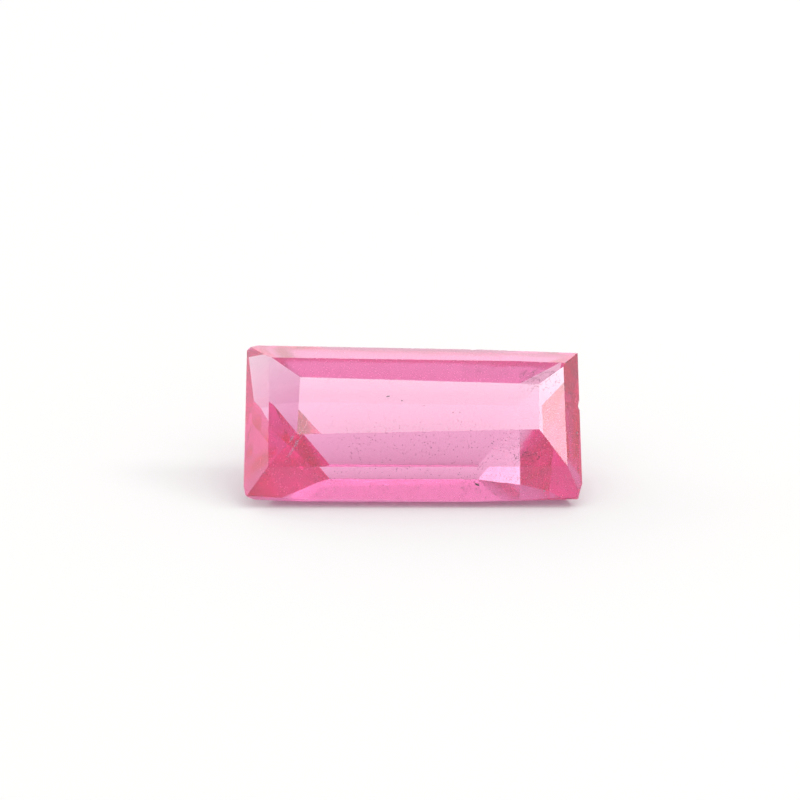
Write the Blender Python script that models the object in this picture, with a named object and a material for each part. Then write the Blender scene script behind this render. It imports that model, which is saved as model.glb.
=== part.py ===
"""A step-cut pink sapphire, lying on the long near side of its pavilion.

The stone is cut in its own frame first: the table is the plane at height zero, X runs along the
length, Y runs away from the side that the stone lies on, and every depth is measured down from
the table. It is then tipped over until that side of the pavilion is flat on the ground.
"""

from math import cos, radians, sin
from typing import NamedTuple

import bmesh
import bpy
from mathutils import Matrix, Vector

MM = 0.001


class Facet(NamedTuple):
    """A cut, by the compass heading it faces, its angle to the table and how far out it passes."""

    heading: float
    angle: float
    reach: float


class Chip(NamedTuple):
    """A small shell-shaped chip, by the place of its centre and its radius."""

    x: float
    y: float
    depth: float
    radius: float


# Driving dimensions. Headings are degrees anticlockwise from +X, seen from above the table.
ROUGH_LENGTH = 12.0 * MM
ROUGH_WIDTH = 8.0 * MM
ROUGH_DEPTH = 8.0 * MM
GIRDLE_BOTTOM = 0.92 * MM
REST_ANGLE = 41.6

# The two crown steps: the reach is where the facet's plane would meet the table's plane.
# The far side's outer step is two facets that nearly line up.
CROWN = (
    Facet(88.3, 24.4, 0.702 * MM),
    Facet(-0.4, 27.6, 2.853 * MM),
    Facet(-88.4, 23.5, 0.703 * MM),
    Facet(178.2, 24.0, 2.860 * MM),
    Facet(88.9, 39.8, 1.062 * MM),
    Facet(87.9, 40.4, 1.111 * MM),
    Facet(0.7, 56.2, 3.264 * MM),
    Facet(-88.9, 39.7, 1.066 * MM),
    Facet(179.5, 42.0, 3.225 * MM),
)

# The outline, with the worn corners: the reach is the distance from the centre. The near side is
# three facets that nearly line up.
OUTLINE = (
    Facet(89.1, 90.0, 2.112 * MM),
    Facet(87.9, 90.0, 2.137 * MM),
    Facet(0.8, 90.0, 3.857 * MM),
    Facet(-90.0, 90.0, 2.088 * MM),
    Facet(-88.1, 90.0, 2.127 * MM),
    Facet(-92.1, 90.0, 2.189 * MM),
    Facet(180.2, 90.0, 4.157 * MM),
    Facet(120.4, 90.0, 3.858 * MM),
    Facet(-15.8, 90.0, 4.170 * MM),
    Facet(-132.9, 90.0, 4.262 * MM),
)

# The pavilion, with the reach measured at the level of the girdle's lower edge. Each side has a
# steep facet under the girdle and flatter ones below it. The stone lies on the near side's flatter
# facet, which runs up to the keel.
PAVILION = (
    Facet(89.1, 56.0, 2.112 * MM),
    Facet(89.1, 43.5, 2.237 * MM),
    Facet(89.1, 25.0, 3.786 * MM),
    Facet(0.3, 56.0, 3.857 * MM),
    Facet(9.9, 33.6, 4.577 * MM),
    Facet(16.8, 20.5, 6.221 * MM),
    Facet(-90.0, 58.0, 2.088 * MM),
    Facet(-88.1, 58.0, 2.127 * MM),
    Facet(-92.1, 58.0, 2.189 * MM),
    Facet(-90.0, REST_ANGLE, 2.287 * MM),
    Facet(180.0, 58.0, 4.157 * MM),
    Facet(201.8, 40.0, 4.377 * MM),
    Facet(195.1, 35.2, 4.776 * MM),
)

CHIPS = (
    Chip(4.02 * MM, 0.55 * MM, 0.88 * MM, 0.23 * MM),
    Chip(1.30 * MM, 2.22 * MM, 0.83 * MM, 0.17 * MM),
)
CHIP_FINENESS = 2

RUBY_PINK = (0.86, 0.20, 0.42, 1.0)
CORUNDUM_IOR = 1.766
POLISH_ROUGHNESS = 0.02
SNAP = 1e-8


def clear_scene():
    """Remove every object, so that only the stone is left."""
    for found in list(bpy.data.objects):
        bpy.data.objects.remove(found, do_unlink=True)


def pink_sapphire_material():
    """Clear pink corundum with a polished surface."""
    material = bpy.data.materials.new("pink_sapphire")
    material.use_nodes = True
    shader = material.node_tree.nodes["Principled BSDF"]
    shader.inputs["Base Color"].default_value = RUBY_PINK
    shader.inputs["Metallic"].default_value = 0.0
    shader.inputs["Roughness"].default_value = POLISH_ROUGHNESS
    shader.inputs["IOR"].default_value = CORUNDUM_IOR
    shader.inputs["Transmission Weight"].default_value = 1.0
    material.diffuse_color = RUBY_PINK
    return material


def rough_block():
    """The block that the stone is cut from, with its top face on the table's plane."""
    block = bmesh.new()
    bmesh.ops.create_cube(block, size=1.0)
    bmesh.ops.scale(block, vec=(ROUGH_LENGTH, ROUGH_WIDTH, ROUGH_DEPTH), verts=block.verts)
    bmesh.ops.translate(block, vec=(0.0, 0.0, -ROUGH_DEPTH / 2), verts=block.verts)
    return block


def grind(stone, point, normal):
    """Grind away all that lies outside a plane, and close the stone with one flat facet."""
    whole = stone.verts[:] + stone.edges[:] + stone.faces[:]
    cut = bmesh.ops.bisect_plane(
        stone, geom=whole, dist=SNAP, plane_co=point, plane_no=normal, clear_outer=True
    )
    rim = [item for item in cut["geom_cut"] if isinstance(item, bmesh.types.BMEdge)]
    if rim:
        bmesh.ops.contextual_create(stone, geom=rim)


def cut_crown_facet(stone, facet):
    """Cut a facet that faces up and outwards; at 90 degrees it is upright, as on the outline."""
    heading = radians(facet.heading)
    angle = radians(facet.angle)
    outwards = Vector((cos(heading), sin(heading), 0.0))
    grind(stone, outwards * facet.reach, outwards * sin(angle) + Vector((0.0, 0.0, cos(angle))))


def cut_pavilion_facet(stone, facet):
    """Cut a facet that faces down and outwards, from the level of the girdle's lower edge."""
    heading = radians(facet.heading)
    angle = radians(facet.angle)
    outwards = Vector((cos(heading), sin(heading), 0.0))
    start = outwards * facet.reach - Vector((0.0, 0.0, GIRDLE_BOTTOM))
    grind(stone, start, outwards * sin(angle) - Vector((0.0, 0.0, cos(angle))))


def lay_down():
    """The turn that brings the near side of the pavilion flat on the ground."""
    return Matrix.Rotation(radians(REST_ANGLE), 4, "X")


def set_on_origin(stone):
    """The move that puts the stone's lowest point on the ground, centred on the origin."""
    low = Vector([min(vert.co[axis] for vert in stone.verts) for axis in range(3)])
    high = Vector([max(vert.co[axis] for vert in stone.verts) for axis in range(3)])
    return Matrix.Translation((-(low.x + high.x) / 2, -(low.y + high.y) / 2, -low.z))


def make_object(name, shape):
    """An object in the scene that holds the finished mesh."""
    mesh = bpy.data.meshes.new(name)
    bmesh.ops.recalc_face_normals(shape, faces=shape.faces)
    shape.to_mesh(mesh)
    shape.free()
    made = bpy.data.objects.new(name, mesh)
    bpy.context.scene.collection.objects.link(made)
    return made


def make_stone():
    """The faceted stone at rest, and the placing that took it there from its cutting frame."""
    stone = rough_block()
    for facet in CROWN + OUTLINE:
        cut_crown_facet(stone, facet)
    for facet in PAVILION:
        cut_pavilion_facet(stone, facet)
    turn = lay_down()
    bmesh.ops.transform(stone, matrix=turn, verts=stone.verts)
    move = set_on_origin(stone)
    bmesh.ops.transform(stone, matrix=move, verts=stone.verts)
    return make_object("pink_sapphire", stone), move @ turn


def chip_off(stone, number, chip, placing):
    """Take one shell-shaped chip out of the girdle."""
    scoop = bmesh.new()
    bmesh.ops.create_icosphere(scoop, subdivisions=CHIP_FINENESS, radius=chip.radius)
    centre = Matrix.Translation((chip.x, chip.y, -chip.depth))
    bmesh.ops.transform(scoop, matrix=placing @ centre, verts=scoop.verts)
    cutter = make_object(f"chip_cutter_{number}", scoop)
    cutter.hide_render = True
    cutter.display_type = "WIRE"
    cut = stone.modifiers.new(f"chip_{number}", "BOOLEAN")
    cut.operation = "DIFFERENCE"
    cut.solver = "EXACT"
    cut.object = cutter


def main():
    """Cut the stone, lay it down and chip its girdle."""
    clear_scene()
    stone, placing = make_stone()
    stone.data.materials.append(pink_sapphire_material())
    for number, chip in enumerate(CHIPS, start=1):
        chip_off(stone, number, chip, placing)


if __name__ == "__main__":
    main()
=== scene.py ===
"""The looks of a step-cut pink sapphire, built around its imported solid.

The stone is a worn copy of the solid in clear pink corundum. It lies on a pale floor under soft
studio panels. Lengths are metres. Places on the stone are given in its cutting frame: the table
is the plane at depth zero, X runs along the length, Y runs away from the side that the stone lies
on, and depth is measured down from the table.
"""

import logging
import random
from dataclasses import dataclass
from enum import Enum
from math import cos, radians, sin

import bmesh
import bpy
from mathutils import Euler, Matrix, Vector
from mathutils.bvhtree import BVHTree


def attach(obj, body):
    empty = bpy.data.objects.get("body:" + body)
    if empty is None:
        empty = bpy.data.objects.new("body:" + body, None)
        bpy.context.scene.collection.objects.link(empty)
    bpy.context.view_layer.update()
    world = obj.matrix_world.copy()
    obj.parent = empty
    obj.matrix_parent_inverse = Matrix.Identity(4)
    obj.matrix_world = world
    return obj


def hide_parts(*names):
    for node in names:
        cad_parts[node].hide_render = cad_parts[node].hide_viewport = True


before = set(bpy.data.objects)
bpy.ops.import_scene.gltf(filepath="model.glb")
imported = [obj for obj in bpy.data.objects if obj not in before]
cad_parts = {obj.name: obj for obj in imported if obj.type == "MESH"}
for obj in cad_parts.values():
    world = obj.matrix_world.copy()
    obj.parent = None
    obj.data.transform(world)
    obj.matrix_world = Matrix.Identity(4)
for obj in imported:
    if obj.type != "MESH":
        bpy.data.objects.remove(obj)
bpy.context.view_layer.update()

MM = 0.001
IMAGE_SIDE = 800
SENSOR = 36.0
FAR_AWAY = 10.0
INNER_TURNS = 32
PANEL_POWER = 4.0

logger = logging.getLogger("pink_sapphire_scene")


@dataclass(frozen=True)
class CuttingFrame:
    """Where the frame that the stone was cut in lies in the scene."""

    tilt: float = radians(41.6)
    origin: tuple[float, float, float] = (0.1422 * MM, -0.6286 * MM, 2.2064 * MM)

    def matrix(self) -> Matrix:
        """Return the turn and move from the cutting frame to the scene."""
        return Matrix.Translation(self.origin) @ Matrix.Rotation(self.tilt, 4, "X")

    def point(self, x: float, y: float, depth: float) -> Vector:
        """Place a point of the stone.

        Args:
            x: Distance along the length, in millimetres.
            y: Distance away from the side that the stone lies on, in millimetres.
            depth: Distance below the table, in millimetres.

        Returns:
            The point in the scene, in metres.
        """
        return self.matrix() @ Vector((x * MM, y * MM, -depth * MM))


class Grain(Enum):
    """The kinds of small crystal that the stone holds."""

    DARK = "dark"
    PALE = "pale"
    GREY = "grey"


@dataclass
class Nodes:
    """A material's node tree, with short ways to add to it."""

    tree: bpy.types.NodeTree

    def link(self, start: bpy.types.NodeSocket, end: bpy.types.NodeSocket) -> None:
        """Join two sockets."""
        self.tree.links.new(start, end)

    def maths(self, operation: str, *values: bpy.types.NodeSocket) -> bpy.types.NodeSocket:
        """Add a sum.

        Args:
            operation: What the node works out.
            values: The sockets that it reads, in order.

        Returns:
            The node's output.
        """
        node = self.tree.nodes.new("ShaderNodeMath")
        node.operation = operation
        for value, entry in zip(values, node.inputs):
            self.link(value, entry)
        return node.outputs[0]

    def ramp(
        self, value: bpy.types.NodeSocket, low: float, high: float, start: float, end: float
    ) -> bpy.types.NodeSocket:
        """Add a smooth ramp that is held at both ends.

        Args:
            value: The socket that it reads.
            low: Where the ramp starts.
            high: Where it ends.
            start: Its value up to the start.
            end: Its value beyond the end.

        Returns:
            The node's output.
        """
        node = self.tree.nodes.new("ShaderNodeMapRange")
        node.interpolation_type = "SMOOTHSTEP"
        self.link(value, node.inputs["Value"])
        node.inputs["From Min"].default_value = low
        node.inputs["From Max"].default_value = high
        node.inputs["To Min"].default_value = start
        node.inputs["To Max"].default_value = end
        return node.outputs["Result"]

    def cut_place(self, cut: CuttingFrame) -> bpy.types.NodeSocket:
        """Give each point's place in the cutting frame, in millimetres.

        Args:
            cut: The stone's cutting frame.

        Returns:
            The place, with depth counted downwards as a negative height.
        """
        place = self.tree.nodes.new("ShaderNodeTexCoord")
        turn = self.tree.nodes.new("ShaderNodeMapping")
        turn.vector_type = "TEXTURE"
        turn.inputs["Location"].default_value = cut.origin
        turn.inputs["Rotation"].default_value = (cut.tilt, 0.0, 0.0)
        turn.inputs["Scale"].default_value = (MM, MM, MM)
        self.link(place.outputs["Object"], turn.inputs["Vector"])
        return turn.outputs["Vector"]

    def noise(
        self, place: bpy.types.NodeSocket, stretch: tuple[float, float, float], fine: float
    ) -> bpy.types.NodeSocket:
        """Add a noise pattern.

        Args:
            place: The coordinates that it reads.
            stretch: How many features it has for each millimetre, along each axis.
            fine: How much fine detail it has.

        Returns:
            The pattern, from 0 to 1.
        """
        turn = self.tree.nodes.new("ShaderNodeMapping")
        turn.inputs["Scale"].default_value = stretch
        pattern = self.tree.nodes.new("ShaderNodeTexNoise")
        pattern.inputs["Scale"].default_value = 1.0
        pattern.inputs["Detail"].default_value = fine
        self.link(place, turn.inputs["Vector"])
        self.link(turn.outputs["Vector"], pattern.inputs["Vector"])
        return pattern.outputs["Fac"]


@dataclass(frozen=True)
class Corundum:
    """Clear pink corundum: how it bends light, what it takes out, and how well it is polished.

    Heights are in millimetres in the cutting frame, and patterns have so many features for each
    millimetre along each axis. The ripple and the lap line are in metres.
    """

    ior: float = 1.766
    absorbs_all: float = 285.0
    passes: tuple[float, float, float] = (0.979, 0.0, 0.600)
    clarity: float = 0.975
    film: tuple[float, float, float] = (1.0, 0.88, 0.94)
    crown_roughness: float = 0.02
    pavilion_roughness: float = 0.085
    girdle_roughness: float = 0.32
    girdle_slope: tuple[float, float] = (0.12, 0.30)
    polish_line: tuple[float, float] = (-0.95, -0.91)
    smear: float = 0.03
    smear_pattern: tuple[float, float, float] = (1.1, 1.7, 1.7)
    smear_patches: tuple[float, float] = (0.48, 0.72)
    smear_detail: float = 4.0
    ripple: float = 0.002 * MM
    ripple_pattern: tuple[float, float, float] = (1.6, 3.2, 3.2)
    lap_line: float = 0.0002 * MM
    lap_pattern: tuple[float, float, float] = (0.6, 34.0, 34.0)
    surface_detail: float = 2.0

    def material(self, name: str, cut: CuttingFrame) -> bpy.types.Material:
        """Make the see-through material.

        Args:
            name: The material's name.
            cut: The stone's cutting frame, which the polish follows.

        Returns:
            A material with a clear, worn polish and an absorbing inside.
        """
        material = bpy.data.materials.new(name)
        material.use_nodes = True
        nodes = Nodes(material.node_tree)
        shader = material.node_tree.nodes["Principled BSDF"]
        shader.inputs["Base Color"].default_value = (*self.film, 1.0)
        shader.inputs["IOR"].default_value = self.ior
        shader.inputs["Transmission Weight"].default_value = self.clarity
        place = nodes.cut_place(cut)
        nodes.link(self.polish(nodes, place, cut), shader.inputs["Roughness"])
        nodes.link(self.surface(nodes, place), shader.inputs["Normal"])
        inside = material.node_tree.nodes.new("ShaderNodeVolumeAbsorption")
        inside.inputs["Color"].default_value = (*self.passes, 1.0)
        inside.inputs["Density"].default_value = self.absorbs_all
        output = material.node_tree.nodes["Material Output"]
        nodes.link(inside.outputs["Volume"], output.inputs["Volume"])
        return material

    def polish(
        self, nodes: Nodes, place: bpy.types.NodeSocket, cut: CuttingFrame
    ) -> bpy.types.NodeSocket:
        """Give the roughness: fine on the crown, duller below, frosted on the upright girdle.

        Args:
            nodes: The material's nodes.
            place: The place in the cutting frame.
            cut: The stone's cutting frame.

        Returns:
            The roughness.
        """
        split = nodes.tree.nodes.new("ShaderNodeSeparateXYZ")
        nodes.link(place, split.inputs[0])
        base = nodes.ramp(
            split.outputs["Z"], *self.polish_line, self.pavilion_roughness, self.crown_roughness
        )
        smears = nodes.noise(place, self.smear_pattern, self.smear_detail)
        patchy = nodes.ramp(smears, *self.smear_patches, 0.0, self.smear)
        return nodes.maths("MAXIMUM", nodes.maths("ADD", base, patchy), self.frost(nodes, cut))

    def frost(self, nodes: Nodes, cut: CuttingFrame) -> bpy.types.NodeSocket:
        """Give the roughness of the ground girdle, and nothing elsewhere.

        Args:
            nodes: The material's nodes.
            cut: The stone's cutting frame.

        Returns:
            The roughness where the surface stands upright to the table.
        """
        facing = nodes.tree.nodes.new("ShaderNodeTexCoord")
        turn = nodes.tree.nodes.new("ShaderNodeMapping")
        turn.vector_type = "TEXTURE"
        turn.inputs["Rotation"].default_value = (cut.tilt, 0.0, 0.0)
        split = nodes.tree.nodes.new("ShaderNodeSeparateXYZ")
        nodes.link(facing.outputs["Normal"], turn.inputs["Vector"])
        nodes.link(turn.outputs["Vector"], split.inputs[0])
        upright = nodes.maths("ABSOLUTE", split.outputs["Z"])
        return nodes.ramp(upright, *self.girdle_slope, self.girdle_roughness, 0.0)

    def surface(self, nodes: Nodes, place: bpy.types.NodeSocket) -> bpy.types.NodeSocket:
        """Give the faint unevenness that the lap leaves: soft ripples and fine lines.

        Args:
            nodes: The material's nodes.
            place: The place in the cutting frame.

        Returns:
            The bumped normal.
        """
        waves = nodes.noise(place, self.ripple_pattern, self.surface_detail)
        lines = nodes.noise(place, self.lap_pattern, self.surface_detail)
        return self.bump(nodes, lines, self.lap_line, self.bump(nodes, waves, self.ripple, None))

    def bump(
        self,
        nodes: Nodes,
        height: bpy.types.NodeSocket,
        rise: float,
        under: bpy.types.NodeSocket | None,
    ) -> bpy.types.NodeSocket:
        """Add one layer of bump.

        Args:
            nodes: The material's nodes.
            height: The pattern.
            rise: The height of its full range, in metres.
            under: The normal that it goes on, if it isn't the first layer.

        Returns:
            The bumped normal.
        """
        node = nodes.tree.nodes.new("ShaderNodeBump")
        node.inputs["Strength"].default_value = 1.0
        node.inputs["Distance"].default_value = rise
        nodes.link(height, node.inputs["Height"])
        if under is not None:
            nodes.link(under, node.inputs["Normal"])
        return node.outputs["Normal"]


@dataclass(frozen=True)
class GrainFinish:
    """A small crystal inside the stone.

    The pattern has so many features for each millimetre along each axis.
    """

    tone: tuple[float, float, float]
    deep_tone: tuple[float, float, float]
    roughness: float = 0.45
    gloss: float = 0.2
    pattern: tuple[float, float, float] = (9.0, 9.0, 9.0)
    pattern_step: tuple[float, float] = (0.35, 0.65)
    pattern_detail: float = 3.0

    def material(self, name: str, cut: CuttingFrame) -> bpy.types.Material:
        """Make the material.

        Args:
            name: The material's name.
            cut: The stone's cutting frame.

        Returns:
            A matt material whose tone varies from crystal to crystal.
        """
        material = bpy.data.materials.new(name)
        material.use_nodes = True
        nodes = Nodes(material.node_tree)
        shader = material.node_tree.nodes["Principled BSDF"]
        shader.inputs["Roughness"].default_value = self.roughness
        shader.inputs["Specular IOR Level"].default_value = self.gloss
        mix = material.node_tree.nodes.new("ShaderNodeMix")
        mix.data_type = "RGBA"
        mix.inputs["A"].default_value = (*self.tone, 1.0)
        mix.inputs["B"].default_value = (*self.deep_tone, 1.0)
        spots = nodes.noise(nodes.cut_place(cut), self.pattern, self.pattern_detail)
        nodes.link(nodes.ramp(spots, *self.pattern_step, 0.0, 1.0), mix.inputs["Factor"])
        nodes.link(mix.outputs["Result"], shader.inputs["Base Color"])
        return material


FINISHES: dict[Grain, GrainFinish] = {
    Grain.DARK: GrainFinish((0.16, 0.03, 0.07), (0.05, 0.01, 0.03)),
    Grain.PALE: GrainFinish((0.98, 0.90, 0.94), (0.90, 0.70, 0.80)),
    Grain.GREY: GrainFinish((0.30, 0.16, 0.24), (0.16, 0.08, 0.12)),
}


@dataclass(frozen=True)
class Cloud:
    """A cloud of small crystals, thickest in its middle unless it is even.

    The middle, the half widths and the sizes are in millimetres, in the cutting frame. The turn is
    in degrees about the axis that stands on the table.
    """

    kind: Grain
    middle: tuple[float, float, float]
    half: tuple[float, float, float]
    turn: float
    count: int
    size: tuple[float, float]
    even: bool = False


@dataclass(frozen=True)
class Speck:
    """One larger crystal, by its place and its half lengths, in millimetres."""

    kind: Grain
    middle: tuple[float, float, float]
    half: tuple[float, float, float]


@dataclass
class CutStone:
    """The faceted stone: the solid's own facets, with worn edges."""

    cut: CuttingFrame
    node: str = "pink_sapphire"
    weld: float = 1e-7
    flatness: float = radians(0.3)
    edge_wear: float = 0.009 * MM
    wear_steps: int = 2

    def merged_copy(self) -> bmesh.types.BMesh:
        """Return the solid's facets as whole polygons."""
        shape = bmesh.new()
        shape.from_mesh(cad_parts[self.node].data)
        bmesh.ops.remove_doubles(shape, verts=shape.verts, dist=self.weld)
        bmesh.ops.dissolve_limit(
            shape, angle_limit=self.flatness, verts=shape.verts, edges=shape.edges
        )
        return shape

    def wear_edges(self, shape: bmesh.types.BMesh) -> None:
        """Take the sharpness off every edge between two facets.

        Args:
            shape: The stone, changed in place.
        """
        bmesh.ops.bevel(
            shape,
            geom=shape.edges[:],
            affect="EDGES",
            offset=self.edge_wear,
            offset_type="OFFSET",
            segments=self.wear_steps,
            profile=0.5,
            material=-1,
            clamp_overlap=True,
        )

    def build(self) -> bpy.types.Object:
        """Build the stone and dress it.

        Returns:
            The finished piece, which stands for the solid.
        """
        shape = self.merged_copy()
        self.wear_edges(shape)
        finish = Corundum().material("pink_corundum", self.cut)
        piece = finished(f"{self.node}_polished", shape, finish)
        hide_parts(self.node)
        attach(piece, "root")
        return piece


@dataclass
class Inclusions:
    """The small crystals that grew inside the stone: dark specks, pale and grey grains."""

    cut: CuttingFrame
    seed: int = 7
    clearance: float = 0.03 * MM
    most_lean: float = 0.5
    tries: int = 12
    batch: int = 60
    specks: tuple[Speck, ...] = (
        Speck(Grain.DARK, (-0.738, 0.289, 0.10), (0.050, 0.020, 0.016)),
        Speck(Grain.DARK, (-0.405, 0.180, 0.10), (0.022, 0.018, 0.014)),
        Speck(Grain.DARK, (0.119, 0.045, 0.10), (0.017, 0.014, 0.012)),
        Speck(Grain.DARK, (0.808, -0.144, 0.10), (0.017, 0.014, 0.012)),
        Speck(Grain.DARK, (0.974, -0.143, 0.10), (0.017, 0.014, 0.012)),
        Speck(Grain.DARK, (1.381, -1.697, 0.75), (0.065, 0.028, 0.028)),
        Speck(Grain.PALE, (3.690, -0.242, 0.90), (0.030, 0.030, 0.030)),
        Speck(Grain.PALE, (2.967, -1.840, 0.80), (0.026, 0.026, 0.026)),
    )
    clouds: tuple[Cloud, ...] = (
        Cloud(Grain.PALE, (0.0, 0.0, 1.1), (3.9, 2.0, 1.0), 0.0, 2600, (0.006, 0.011), True),
        Cloud(Grain.GREY, (0.6, -0.9, 0.7), (2.6, 0.7, 0.5), 0.0, 420, (0.006, 0.012), True),
        Cloud(Grain.GREY, (1.85, -1.72, 0.80), (0.85, 0.26, 0.22), 0.0, 230, (0.006, 0.012), True),
        Cloud(Grain.GREY, (2.55, -0.95, 0.60), (0.55, 0.40, 0.25), 0.0, 130, (0.007, 0.013)),
        Cloud(Grain.GREY, (2.95, 0.95, 0.80), (0.55, 0.20, 0.50), 0.0, 220, (0.008, 0.014), True),
        Cloud(Grain.PALE, (-2.95, -0.80, 0.60), (0.05, 0.60, 0.10), -28.0, 90, (0.008, 0.014)),
    )

    def inside(self, solid: BVHTree, point: Vector) -> bool:
        """Tell whether a point is inside the stone, clear of its skin.

        Args:
            solid: The stone's facets.
            point: The point, in metres.

        Returns:
            True if it is.
        """
        nearest, facing, _, distance = solid.find_nearest(point)
        return distance > self.clearance and (point - nearest).dot(facing) < 0.0

    def scatter(self, cloud: Cloud, solid: BVHTree, chance: random.Random) -> list[Matrix]:
        """Place the crystals of one cloud.

        Args:
            cloud: The cloud.
            solid: The stone's facets.
            chance: The source of chance.

        Returns:
            A placing for each crystal.
        """
        placings = []
        x, y, depth = cloud.middle
        turned = Matrix.Rotation(radians(cloud.turn), 3, "Z")
        for _ in range(cloud.count):
            for _ in range(self.tries):
                way = Vector([chance.uniform(-1.0, 1.0) for _ in range(3)])
                reach = 1.0 if cloud.even else chance.random()
                offset = turned @ Vector([w * h * reach for w, h in zip(way, cloud.half)])
                point = self.cut.point(x + offset.x, y + offset.y, depth + offset.z)
                if self.inside(solid, point):
                    size = chance.uniform(*cloud.size) * MM
                    placings.append(self.placing(point, (size, size, size), chance))
                    break
        return placings

    def placing(
        self, point: Vector, half: tuple[float, float, float], chance: random.Random
    ) -> Matrix:
        """Give the placing of one crystal, with a small turn of its own.

        Args:
            point: Where it sits.
            half: Its half lengths, in metres.
            chance: The source of chance.

        Returns:
            The placing of a crystal of unit size.
        """
        most = self.most_lean
        lean = Euler([chance.uniform(-most, most) for _ in range(3)]).to_matrix().to_4x4()
        lying = Matrix.Rotation(self.cut.tilt, 4, "X")
        return Matrix.Translation(point) @ lying @ lean @ Matrix.Diagonal((*half, 1.0))

    def crystals(self, placings: list[Matrix]) -> bmesh.types.BMesh:
        """Build one crystal for each placing, batch by batch, because small shapes grow faster.

        Args:
            placings: The placings.

        Returns:
            All crystals in one shape.
        """
        whole = bmesh.new()
        batch_mesh = bpy.data.meshes.new("crystal_batch")
        for start in range(0, len(placings), self.batch):
            part = bmesh.new()
            for placing in placings[start : start + self.batch]:
                bmesh.ops.create_icosphere(part, subdivisions=1, radius=1.0, matrix=placing)
            part.to_mesh(batch_mesh)
            part.free()
            whole.from_mesh(batch_mesh)
        bpy.data.meshes.remove(batch_mesh)
        return whole

    def build_kind(self, kind: Grain, solid: BVHTree) -> bpy.types.Object:
        """Build all crystals of one kind as one mesh.

        Args:
            kind: The kind.
            solid: The stone's facets.

        Returns:
            The finished piece.
        """
        chance = random.Random(f"{self.seed} {kind.value}")
        placings = []
        for speck in self.specks:
            if speck.kind is kind:
                half = tuple(length * MM for length in speck.half)
                placings.append(self.placing(self.cut.point(*speck.middle), half, chance))
        for cloud in self.clouds:
            if cloud.kind is kind:
                placings.extend(self.scatter(cloud, solid, chance))
        shape = self.crystals(placings)
        finish = FINISHES[kind].material(f"{kind.value}_crystals", self.cut)
        piece = finished(f"{kind.value}_inclusions", shape, finish)
        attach(piece, "root")
        return piece

    def build(self, stone: bmesh.types.BMesh) -> list[bpy.types.Object]:
        """Build the crystals of every kind.

        Args:
            stone: The stone's facets, freed here.

        Returns:
            One piece for each kind.
        """
        solid = BVHTree.FromBMesh(stone)
        stone.free()
        return [self.build_kind(kind, solid) for kind in Grain]


@dataclass(frozen=True)
class Panel:
    """A soft light panel that faces the stone, by its bearing and height in degrees.

    Azimuth 0 is behind the stone and 90 is on its right. Lengths are in metres.
    """

    name: str
    azimuth: float
    elevation: float
    distance: float
    width: float
    height: float
    brightness: float

    def build(self, tint: tuple[float, float, float]) -> bpy.types.Object:
        """Hang the panel.

        Args:
            tint: The colour of its light.

        Returns:
            The area light.
        """
        around = radians(self.azimuth)
        up = radians(self.elevation)
        away = Vector((sin(around) * cos(up), cos(around) * cos(up), sin(up)))
        lamp = bpy.data.lights.new(self.name, "AREA")
        lamp.shape = "RECTANGLE"
        lamp.size = self.width
        lamp.size_y = self.height
        lamp.energy = PANEL_POWER * self.width * self.height * self.brightness
        lamp.color = tint
        hung = bpy.data.objects.new(self.name, lamp)
        hung.location = away * self.distance
        hung.rotation_euler = away.to_track_quat("Z", "Y").to_euler()
        bpy.context.scene.collection.objects.link(hung)
        return hung


@dataclass
class Studio:
    """The pale floor and the soft light around the stone."""

    floor_half: float = 0.5
    air_gap: float = 0.01 * MM
    floor_tone: float = 0.95
    floor_roughness: float = 0.9
    room_light: float = 0.80
    tint: tuple[float, float, float] = (1.0, 0.992, 0.985)
    panels: tuple[Panel, ...] = (
        Panel("right_key", 85.0, 43.0, 0.45, 0.14, 0.12, 3.4),
        Panel("overhead", 174.0, 79.5, 0.45, 0.10, 0.065, 2.0),
        Panel("back_left", 319.5, 24.0, 0.50, 0.90, 0.20, 0.80),
        Panel("right_fill", 95.0, 60.0, 0.48, 0.55, 0.30, 0.35),
        Panel("front_fill", 185.0, 56.0, 0.50, 0.60, 0.36, 0.16),
    )

    def build_floor(self) -> bpy.types.Object:
        """Lay the floor, level with the stone's resting facet."""
        shape = bmesh.new()
        bmesh.ops.create_grid(shape, x_segments=1, y_segments=1, size=self.floor_half)
        bmesh.ops.translate(shape, vec=(0.0, 0.0, -self.air_gap), verts=shape.verts)
        paper = bpy.data.materials.new("pale_floor")
        paper.use_nodes = True
        shader = paper.node_tree.nodes["Principled BSDF"]
        tone = self.floor_tone
        shader.inputs["Base Color"].default_value = (tone, tone, tone, 1.0)
        shader.inputs["Roughness"].default_value = self.floor_roughness
        shader.inputs["Specular IOR Level"].default_value = 0.0
        floor = finished("studio_floor", shape, paper)
        return floor

    def light_room(self) -> None:
        """Give the room an even light from all round."""
        world = bpy.data.worlds.new("studio_room")
        world.use_nodes = True
        glow = world.node_tree.nodes["Background"]
        glow.inputs["Color"].default_value = (*self.tint, 1.0)
        glow.inputs["Strength"].default_value = self.room_light
        bpy.context.scene.world = world

    def build(self) -> None:
        """Set up the whole studio."""
        self.build_floor()
        self.light_room()
        for panel in self.panels:
            panel.build(self.tint)


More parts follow.
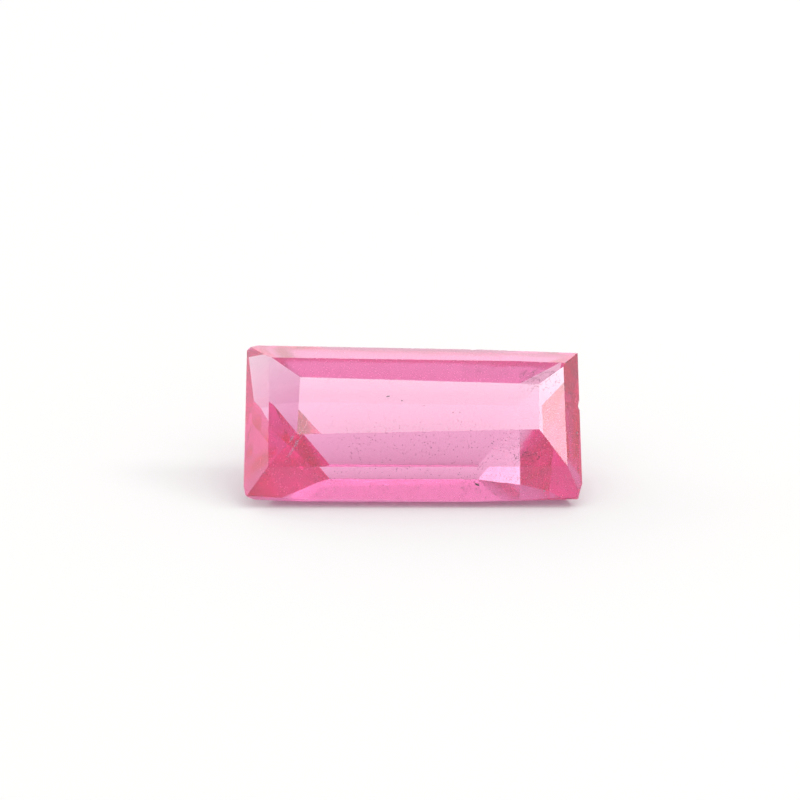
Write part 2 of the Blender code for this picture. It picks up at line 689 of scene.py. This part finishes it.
@dataclass(frozen=True)
class Viewpoint:
    """The camera, by how it sees the stone's table."""

    above_table: float = radians(60.0)
    distance: float = 100.0 * MM
    nearest_seen: float = 5.0 * MM
    focal_pixels: float = 4210.0
    table_centre_pixel: tuple[float, float] = (419.0, 406.0)
    roll: float = radians(0.2)

    def build(self, cut: CuttingFrame) -> bpy.types.Object:
        """Place the camera.

        Args:
            cut: The stone's cutting frame.

        Returns:
            The camera, set as the scene's own.
        """
        centre = cut.point(0.0, 0.0, 0.0)
        turn = Matrix.Rotation(cut.tilt, 3, "X")
        back = turn @ Vector((0.0, -cos(self.above_table), sin(self.above_table)))
        upright = back.to_track_quat("Z", "Y").to_matrix()
        aim = upright @ Matrix.Rotation(self.roll, 3, "Z")
        off_u = (self.table_centre_pixel[0] - IMAGE_SIDE / 2) / self.focal_pixels
        off_v = (self.table_centre_pixel[1] - IMAGE_SIDE / 2) / self.focal_pixels
        pan = Matrix.Rotation(off_u, 3, "Y") @ Matrix.Rotation(off_v, 3, "X")
        lens = bpy.data.cameras.new("viewpoint")
        lens.sensor_width = SENSOR
        lens.lens = SENSOR * self.focal_pixels / IMAGE_SIDE
        lens.clip_start = self.nearest_seen
        lens.clip_end = FAR_AWAY
        camera = bpy.data.objects.new("viewpoint", lens)
        stand = Matrix.Translation(centre + back * self.distance)
        camera.matrix_world = stand @ (aim @ pan).to_4x4()
        bpy.context.scene.collection.objects.link(camera)
        bpy.context.scene.camera = camera
        return camera


def finished(name: str, shape: bmesh.types.BMesh, material: bpy.types.Material) -> bpy.types.Object:
    """Turn a bmesh into an object with its material.

    Args:
        name: The object's name.
        shape: The finished shape, freed here.
        material: What it is made of.

    Returns:
        The object, at the origin, in the scene.
    """
    mesh = bpy.data.meshes.new(name)
    shape.to_mesh(mesh)
    shape.free()
    mesh.materials.append(material)
    piece = bpy.data.objects.new(name, mesh)
    bpy.context.scene.collection.objects.link(piece)
    return piece


def set_up_light() -> None:
    """Let light turn inside the stone as often as in a real one, and show tones as they are."""
    scene = bpy.context.scene
    scene.cycles.max_bounces = INNER_TURNS
    scene.cycles.glossy_bounces = INNER_TURNS
    scene.cycles.transmission_bounces = INNER_TURNS
    scene.view_settings.view_transform = "Standard"


def main() -> None:
    """Build the stone, the studio and the viewpoint."""
    logging.basicConfig(level=logging.INFO, format="%(message)s")
    cut = CuttingFrame()
    maker = CutStone(cut)
    for piece in [maker.build(), *Inclusions(cut).build(maker.merged_copy())]:
        logger.info("%s: %d faces", piece.name, len(piece.data.polygons))
    Studio().build()
    Viewpoint().build(cut)
    set_up_light()


if __name__ == "__main__":
    main()
